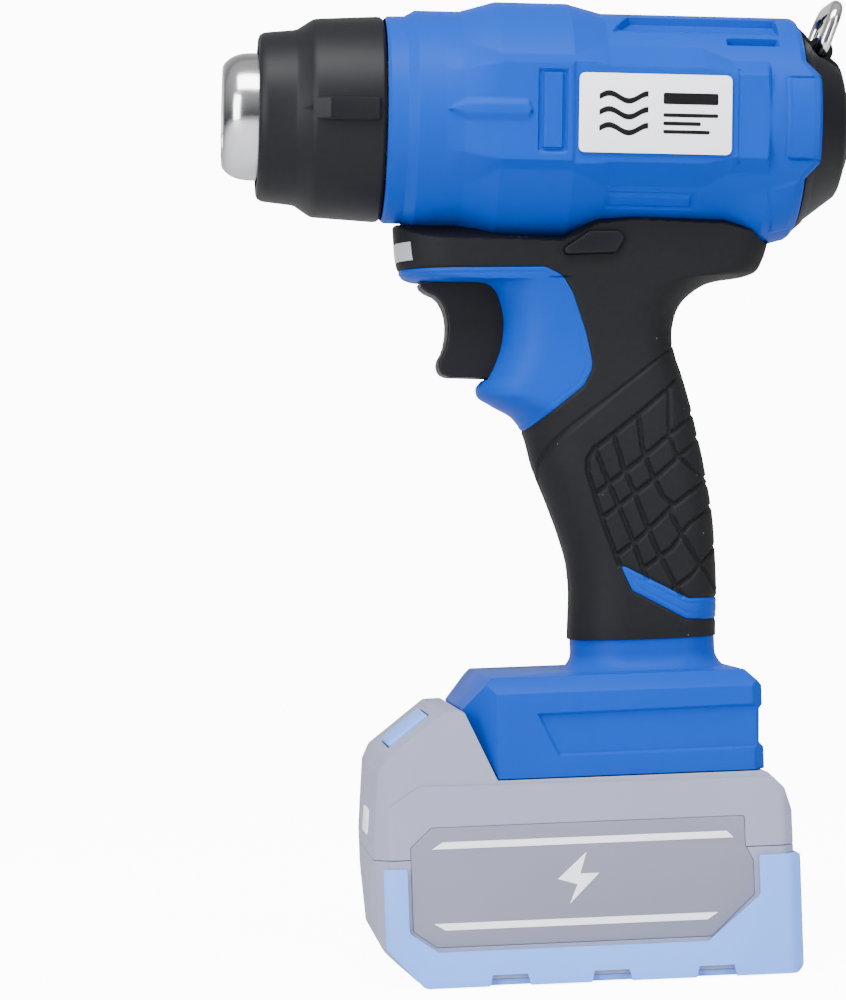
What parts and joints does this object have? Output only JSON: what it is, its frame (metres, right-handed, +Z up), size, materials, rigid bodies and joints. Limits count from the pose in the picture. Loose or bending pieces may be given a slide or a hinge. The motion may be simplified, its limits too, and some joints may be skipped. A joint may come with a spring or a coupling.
{
  "type": "cordless heat gun",
  "caption": "Cordless pistol-grip heat gun with steel nozzle tube, soft grip, trigger with lock button, hanging ring and slide-on battery pack.",
  "frame": {"origin": "on the floor under the middle of the bounding box, at the underside of the battery pack", "axes": "+Z up; -X the way the nozzle points; -Y the left side as its user holds it; +Y the right side, where the screw heads are"},
  "size_m": [0.1701, 0.076, 0.2615],
  "materials": {
    "housing_blue": "satin moulded, fine spark texture",
    "grip_rubber": "matt soft elastomer",
    "black_plastic": "satin moulded",
    "nozzle_steel": "polished, fine turning lines",
    "bright_steel": "bright plated",
    "screw_steel": "dark zinc plated",
    "mica": "pressed mica sheet",
    "ceramic": "unglazed ceramic and woven glass sleeve",
    "resistance_wire": "oxidised heating wire",
    "copper": "copper and phosphor bronze",
    "circuit_board": "green solder resist",
    "lamp_lens": "milky clear lens",
    "label_silver": "silver foil label",
    "lead_red": "red wire cover",
    "lead_black": "black wire cover",
    "pack_grey": "pale grey moulded, fine texture",
    "bumper_blue": "pale blue soft bumper",
    "cell_wrap": "shrink sleeve on steel cells"
  },
  "bodies": {
    "housing": {"battery_lead_negative": "lead_black", "battery_lead_positive": "lead_red", "control_board": "circuit_board", "fan_duct": "black_plastic", "grip_left": "grip_rubber", "grip_right": "grip_rubber", "heat_shield": "black_plastic", "heater_coil": "resistance_wire", "heater_core": "mica", "heater_lead_left": "ceramic", "heater_lead_right": "ceramic", "heater_mount": "ceramic", "housing_left": "housing_blue", "housing_right": "housing_blue", "insulation_sleeve": "mica", "intake_grille": "black_plastic", "label_left": "label_silver", "label_right": "label_silver", "led_board": "circuit_board", "led_lens": "lamp_lens", "motor_bracket": "grip_rubber", "motor_can": "bright_steel", "motor_end_cap": "black_plastic", "motor_lead_negative": "lead_black", "motor_lead_positive": "lead_red", "nozzle_tube": "nozzle_steel", "rear_cap": "black_plastic", "screw_barrel_front_bottom": "screw_steel", "screw_barrel_front_top": "screw_steel", "screw_barrel_rear_bottom": "screw_steel", "screw_barrel_rear_top": "screw_steel", "screw_foot_front": "screw_steel", "screw_foot_rear": "screw_steel", "screw_grip_bottom": "screw_steel", "screw_grip_top": "screw_steel", "terminal_block": "black_plastic", "terminal_negative": "bright_steel", "terminal_positive": "bright_steel", "terminal_signal": "bright_steel", "thermal_sensor": "bright_steel", "trigger_spring": "bright_steel", "trigger_switch": "black_plastic"},
    "trigger": {"trigger": "black_plastic"},
    "lock": {"lock_button": "black_plastic"},
    "rotor": {"motor_shaft": "bright_steel", "motor_armature": "copper", "fan_impeller": "black_plastic"},
    "ring": {"hang_ring": "nozzle_steel"},
    "pack": {"pack_case_lower": "pack_grey", "pack_case_upper": "pack_grey", "pack_bumper": "bumper_blue", "pack_panel_left": "pack_grey", "pack_panel_right": "pack_grey", "cell_row_lower": "cell_wrap", "cell_row_upper": "cell_wrap", "pack_board": "circuit_board", "pack_contact_negative": "copper", "pack_contact_positive": "copper", "release_spring": "bright_steel"},
    "release": {"release_button": "bumper_blue"}
  },
  "joints": [
    {"name": "trigger_pull", "type": "slide", "parent": "housing", "child": "trigger", "axis": [1, 0, 0], "range_m": [0, 0.006], "stiffness_N_per_m": 600, "springref_m": -0.004, "deforming": ["trigger_spring"]},
    {"name": "lock_slide", "type": "slide", "parent": "housing", "child": "lock", "axis": [0, 1, 0], "range_m": [-0.002, 0.002]},
    {"name": "fan_spin", "type": "hinge", "parent": "housing", "child": "rotor", "pos_m": [0, 0, 0.2285], "axis": [0.9988, 0, -0.0489], "continuous": true},
    {"name": "ring_swing", "type": "hinge", "parent": "housing", "child": "ring", "pos_m": [0.07762, 0, 0.24533], "axis": [0, 1, 0], "range_deg": [-35, 95]},
    {"name": "pack_slide", "type": "slide", "parent": "housing", "child": "pack", "axis": [-1, 0, 0], "range_m": [0, 0.1]},
    {"name": "release_press", "type": "slide", "parent": "pack", "child": "release", "axis": [0.6033, 0, -0.7975], "range_m": [0, 0.0025], "stiffness_N_per_m": 400, "springref_m": -0.003, "deforming": ["release_spring"]}
  ]
}
